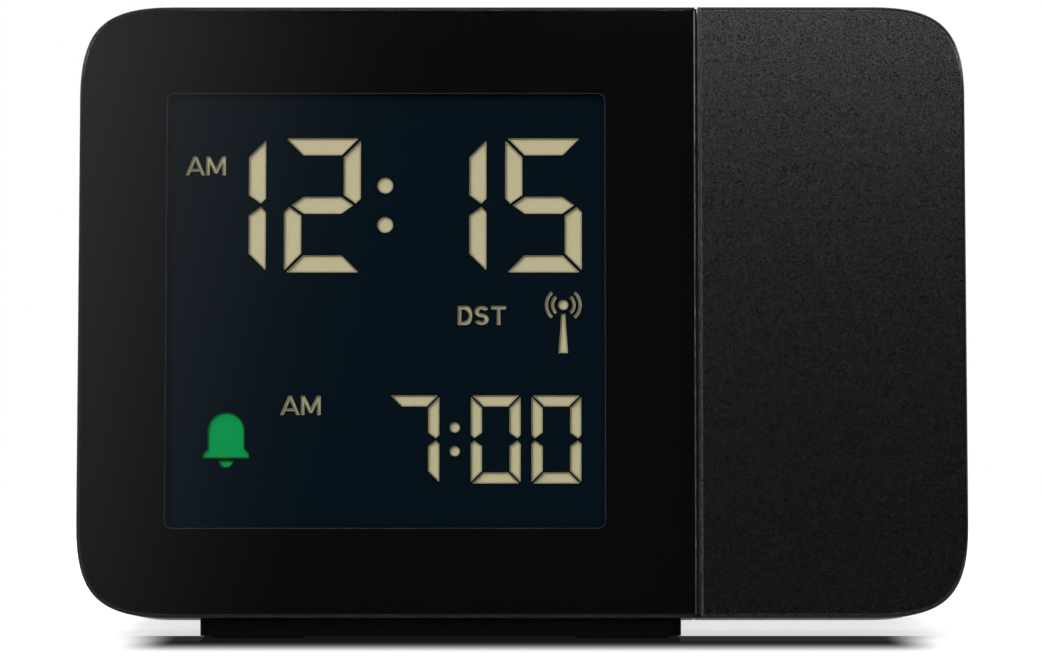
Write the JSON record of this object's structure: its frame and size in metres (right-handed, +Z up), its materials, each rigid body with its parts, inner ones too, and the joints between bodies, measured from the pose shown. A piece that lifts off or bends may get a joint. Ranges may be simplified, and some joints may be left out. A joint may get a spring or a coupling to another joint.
{
  "type": "projection alarm clock",
  "caption": "Black bedside alarm clock that leans back on a foot, with a large dark display, a snooze bar on top, rear set buttons and battery bay, and a turning time projector.",
  "frame": {"origin": "middle of the bounding box's footprint, on the table plane", "axes": "+X to the user's right along the clock, +Y from the display towards the back, +Z up from the table"},
  "size_m": [0.133, 0.055, 0.0948],
  "materials": {
    "front_window": "polished smoked acrylic",
    "black_print": "printed black",
    "display_ink": "negative display film, dark blue",
    "segment_white": "warm white diffusing sheet",
    "bell_green": "green filter",
    "cell_glass": "clear",
    "guide_acrylic": "clear acrylic",
    "white_plastic": "moulded",
    "case_black": "fine-grained moulded",
    "key_black": "satin moulded",
    "ring_black": "notched satin moulded",
    "board_green": "solder-masked board",
    "chip_black": "moulded chip package",
    "connector_white": "moulded",
    "zebra_rubber": "striped elastomer",
    "tin": "tinned spring steel",
    "screw_steel": "black-zinc screws",
    "cell_jacket": "foil jacket",
    "ferrite": "pressed ferrite",
    "copper_wire": "enamelled winding",
    "pad_rubber": "soft",
    "bush_nylon": "natural nylon",
    "clip_steel": "spring steel",
    "optic_glass": "coated lens",
    "slide_film": "projection slide",
    "led_red": "tinted clear dome",
    "lead_black": "sheathed lead"
  },
  "bodies": {
    "clock": {"front_lens": "front_window", "window_mask": "black_print", "display_film": "display_ink", "segment_sheet": "segment_white", "bell_filter": "bell_green", "lcd_glass": "cell_glass", "backlight_guide": "guide_acrylic", "lcd_frame": "white_plastic", "front_frame": "case_black", "main_board": "board_green", "board_chips": "chip_black", "lead_socket": "connector_white", "zebra_connector": "zebra_rubber", "snooze_switch": "chip_black", "rear_cover": "case_black", "slide_switches": "tin", "key_board": "board_green", "key_switches": "chip_black", "buzzer": "chip_black", "dc_socket": "chip_black", "battery_box": "case_black", "battery_contacts": "tin", "aa_cell_upper": "cell_jacket", "aa_cell_lower": "cell_jacket", "antenna_rod": "ferrite", "antenna_coil": "copper_wire", "antenna_clips": "white_plastic", "base_foot": "case_black", "foot_pads": "pad_rubber", "foot_screws": "screw_steel", "case_screws": "screw_steel", "board_screws": "screw_steel", "pivot_bush": "bush_nylon"},
    "projector": {"projector_shell": "case_black", "projector_side_plate": "case_black", "pivot_shaft": "key_black", "pivot_washer": "bush_nylon", "pivot_clip": "clip_steel", "projector_tube": "black_print", "condenser_lens": "optic_glass", "projection_slide": "slide_film", "projector_led": "led_red", "led_board": "board_green", "projector_screws": "screw_steel", "projector_lead": "lead_black"},
    "focus_ring": {"focus_ring": "ring_black"},
    "lens_carrier": {"lens_barrel": "black_print", "projection_lens": "optic_glass"},
    "snooze_bar": {"snooze_bar": "key_black"},
    "time_set_button": {"time_set_button": "key_black"},
    "alarm_set_button": {"alarm_set_button": "key_black"},
    "plus_button": {"plus_button": "key_black"},
    "minus_button": {"minus_button": "key_black"},
    "wave_button": {"wave_button": "key_black"},
    "flip_button": {"flip_button": "key_black"},
    "alarm_knob": {"alarm_knob": "key_black"},
    "projector_knob": {"projector_knob": "key_black"},
    "battery_door": {"battery_door": "case_black"}
  },
  "joints": [
    {"name": "projector_pivot", "type": "hinge", "parent": "clock", "child": "projector", "pos_m": [0.0262, -0.01164, 0.04803], "axis": [1, 0, 0], "range_deg": [-90, 90]},
    {"name": "focus_turn", "type": "hinge", "parent": "projector", "child": "focus_ring", "pos_m": [0.04745, -0.00382, 0.09151], "axis": [0, 0.0872, 0.9962], "range_deg": [-90, 90]},
    {"name": "focus_slide", "type": "slide", "parent": "projector", "child": "lens_carrier", "axis": [0, 0.0872, 0.9962], "range_m": [-0.001, 0.001]},
    {"name": "snooze_press", "type": "slide", "parent": "clock", "child": "snooze_bar", "axis": [0, -0.0872, -0.9962], "range_m": [0, 0.0008], "stiffness_N_per_m": 1500},
    {"name": "time_set_press", "type": "slide", "parent": "clock", "child": "time_set_button", "axis": [0, -0.9962, 0.0872], "range_m": [0, 0.0005], "stiffness_N_per_m": 1200},
    {"name": "alarm_set_press", "type": "slide", "parent": "clock", "child": "alarm_set_button", "axis": [0, -0.9962, 0.0872], "range_m": [0, 0.0005], "stiffness_N_per_m": 1200},
    {"name": "plus_press", "type": "slide", "parent": "clock", "child": "plus_button", "axis": [0, -0.9962, 0.0872], "range_m": [0, 0.0005], "stiffness_N_per_m": 1200},
    {"name": "minus_press", "type": "slide", "parent": "clock", "child": "minus_button", "axis": [0, -0.9962, 0.0872], "range_m": [0, 0.0005], "stiffness_N_per_m": 1200},
    {"name": "wave_press", "type": "slide", "parent": "clock", "child": "wave_button", "axis": [0, -0.9962, 0.0872], "range_m": [0, 0.0005], "stiffness_N_per_m": 1200},
    {"name": "flip_press", "type": "slide", "parent": "clock", "child": "flip_button", "axis": [0, -0.9962, 0.0872], "range_m": [0, 0.0005], "stiffness_N_per_m": 1200},
    {"name": "alarm_switch", "type": "slide", "parent": "clock", "child": "alarm_knob", "axis": [1, 0, 0], "range_m": [-0.002, 0.002]},
    {"name": "projector_switch", "type": "slide", "parent": "clock", "child": "projector_knob", "axis": [1, 0, 0], "range_m": [-0.002, 0.002]},
    {"name": "battery_door_pull", "type": "slide", "parent": "clock", "child": "battery_door", "axis": [0, 0.9962, -0.0872], "range_m": [0, 0.012]}
  ],
  "couplings": [
    {"joint": "focus_turn", "follows": "focus_slide", "rad_per_m": 1570.8}
  ]
}
